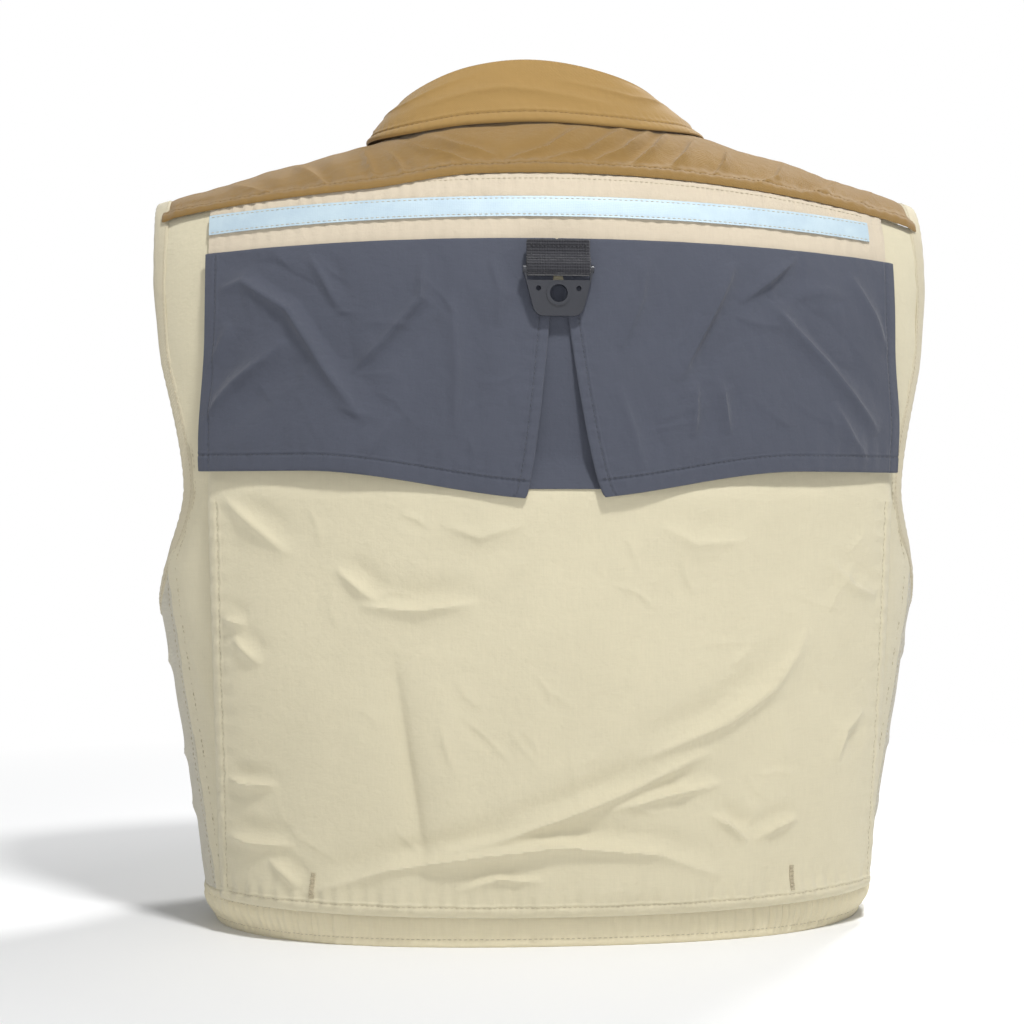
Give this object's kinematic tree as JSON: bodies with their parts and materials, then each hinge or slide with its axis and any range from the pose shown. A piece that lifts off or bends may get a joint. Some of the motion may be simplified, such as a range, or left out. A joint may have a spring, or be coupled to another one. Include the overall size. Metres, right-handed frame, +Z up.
{
  "type": "fishing vest",
  "caption": "Sleeveless fishing vest with a tan yoke and collar, beige body and back pocket, grey back cape, reflective strip, net ring and flapped front pockets.",
  "frame": {"origin": "at the hem's level under the middle of the wearer; it is placed by the neck, which the wearer's shoulders or a hanger hold", "axes": "+Z up from hem to collar, the wearer faces -Y, +X is the wearer's left"},
  "size_m": [0.51, 0.2779, 0.5638],
  "materials": {
    "shell": "tightly woven cotton blend, matt, garment washed",
    "side_cloth": "the same cotton in a greyer beige",
    "yoke_cloth": "tan cotton twill, washed",
    "cape_cloth": "slate grey nylon cotton, matt",
    "reflective": "silver reflective tape, satin",
    "thread": "polyester sewing thread",
    "webbing": "ribbed polypropylene webbing",
    "moulded": "moulded acetal, satin gloss",
    "label": "blank woven satin label",
    "zip_tape": "woven polyester zip tape",
    "zip_teeth": "moulded acetal teeth",
    "zip_metal": "dark enamelled zinc",
    "loop_tape": "brushed loop tape",
    "ring_metal": "nickel plated wire, satin"
  },
  "bodies": {
    "vest": {"back_panel": "shell", "side_panel_left": "side_cloth", "side_panel_right": "side_cloth", "waistband_back": "shell", "back_yoke": "yoke_cloth", "front_yoke_left": "yoke_cloth", "front_yoke_right": "yoke_cloth", "strip_carrier": "shell", "reflective_strip": "reflective", "cape_underlay": "cape_cloth", "cape_left": "cape_cloth", "cape_right": "cape_cloth", "back_pocket": "shell", "back_pocket_bartacks": "thread", "ring_webbing": "webbing", "armhole_binding_left": "shell", "armhole_binding_right": "shell", "collar_stand": "yoke_cloth", "collar_leaf": "yoke_cloth", "hanger_loop": "yoke_cloth", "blank_label": "label"},
    "net_ring": {"net_ring": "moulded"},
    "front_left": {"front_panel_left": "shell", "waistband_front_left": "shell", "zip_tape_left": "zip_tape", "zip_teeth_left": "zip_teeth", "zip_bottom_stop": "zip_teeth", "chest_pocket_left": "shell", "lower_pocket_left": "shell", "pocket_loop_tape_left": "loop_tape"},
    "front_right": {"front_panel_right": "shell", "waistband_front_right": "shell", "zip_tape_right": "zip_tape", "zip_teeth_right": "zip_teeth", "chest_pocket_right": "shell", "lower_pocket_right": "shell", "pocket_loop_tape_right": "loop_tape", "tool_tab": "webbing"},
    "chest_flap_left": {"chest_flap_left": "shell"},
    "chest_flap_right": {"chest_flap_right": "shell"},
    "lower_flap_left": {"lower_flap_left": "shell"},
    "lower_flap_right": {"lower_flap_right": "shell"},
    "zip_slider": {"zip_slider": "zip_metal"},
    "zip_pull": {"zip_pull": "zip_metal"},
    "tool_ring": {"tool_ring": "ring_metal"}
  },
  "joints": [
    {"name": "front_left_opening", "type": "hinge", "parent": "vest", "child": "front_left", "pos_m": [0.2068, -0.0512, 0], "axis": [0.1462, 0, 0.9893], "range_deg": [0, 30], "deforming": ["front_yoke_left"]},
    {"name": "front_right_opening", "type": "hinge", "parent": "vest", "child": "front_right", "pos_m": [-0.2068, -0.0512, 0], "axis": [0.1462, 0, -0.9893], "range_deg": [0, 30], "deforming": ["front_yoke_right"]},
    {"name": "net_ring_swing", "type": "hinge", "parent": "vest", "child": "net_ring", "pos_m": [0, 0.12732, 0.42], "axis": [1, 0, 0], "range_deg": [0, 140]},
    {"name": "chest_flap_left_lift", "type": "hinge", "parent": "front_left", "child": "chest_flap_left", "pos_m": [0.07303, -0.11852, 0.356], "axis": [-0.9958, -0.0911, 0], "range_deg": [0, 90]},
    {"name": "chest_flap_right_lift", "type": "hinge", "parent": "front_right", "child": "chest_flap_right", "pos_m": [-0.07303, -0.11852, 0.356], "axis": [-0.9958, 0.0911, 0], "range_deg": [0, 90]},
    {"name": "lower_flap_left_lift", "type": "hinge", "parent": "front_left", "child": "lower_flap_left", "pos_m": [0.09092, -0.11631, 0.194], "axis": [-0.9893, -0.146, 0], "range_deg": [0, 90]},
    {"name": "lower_flap_right_lift", "type": "hinge", "parent": "front_right", "child": "lower_flap_right", "pos_m": [-0.09092, -0.11631, 0.194], "axis": [-0.9893, 0.146, 0], "range_deg": [0, 90]},
    {"name": "zip_travel", "type": "slide", "parent": "front_left", "child": "zip_slider", "axis": [0, 0, 1], "range_m": [0, 0.33]},
    {"name": "zip_pull_swing", "type": "hinge", "parent": "zip_slider", "child": "zip_pull", "pos_m": [0.0034, -0.12499, 0.0435], "axis": [-1, 0, 0], "range_deg": [0, 150]},
    {"name": "tool_ring_swing", "type": "hinge", "parent": "front_right", "child": "tool_ring", "pos_m": [-0.15304, -0.10724, 0.372], "axis": [-0.9681, 0.2504, 0], "range_deg": [0, 110]}
  ]
}
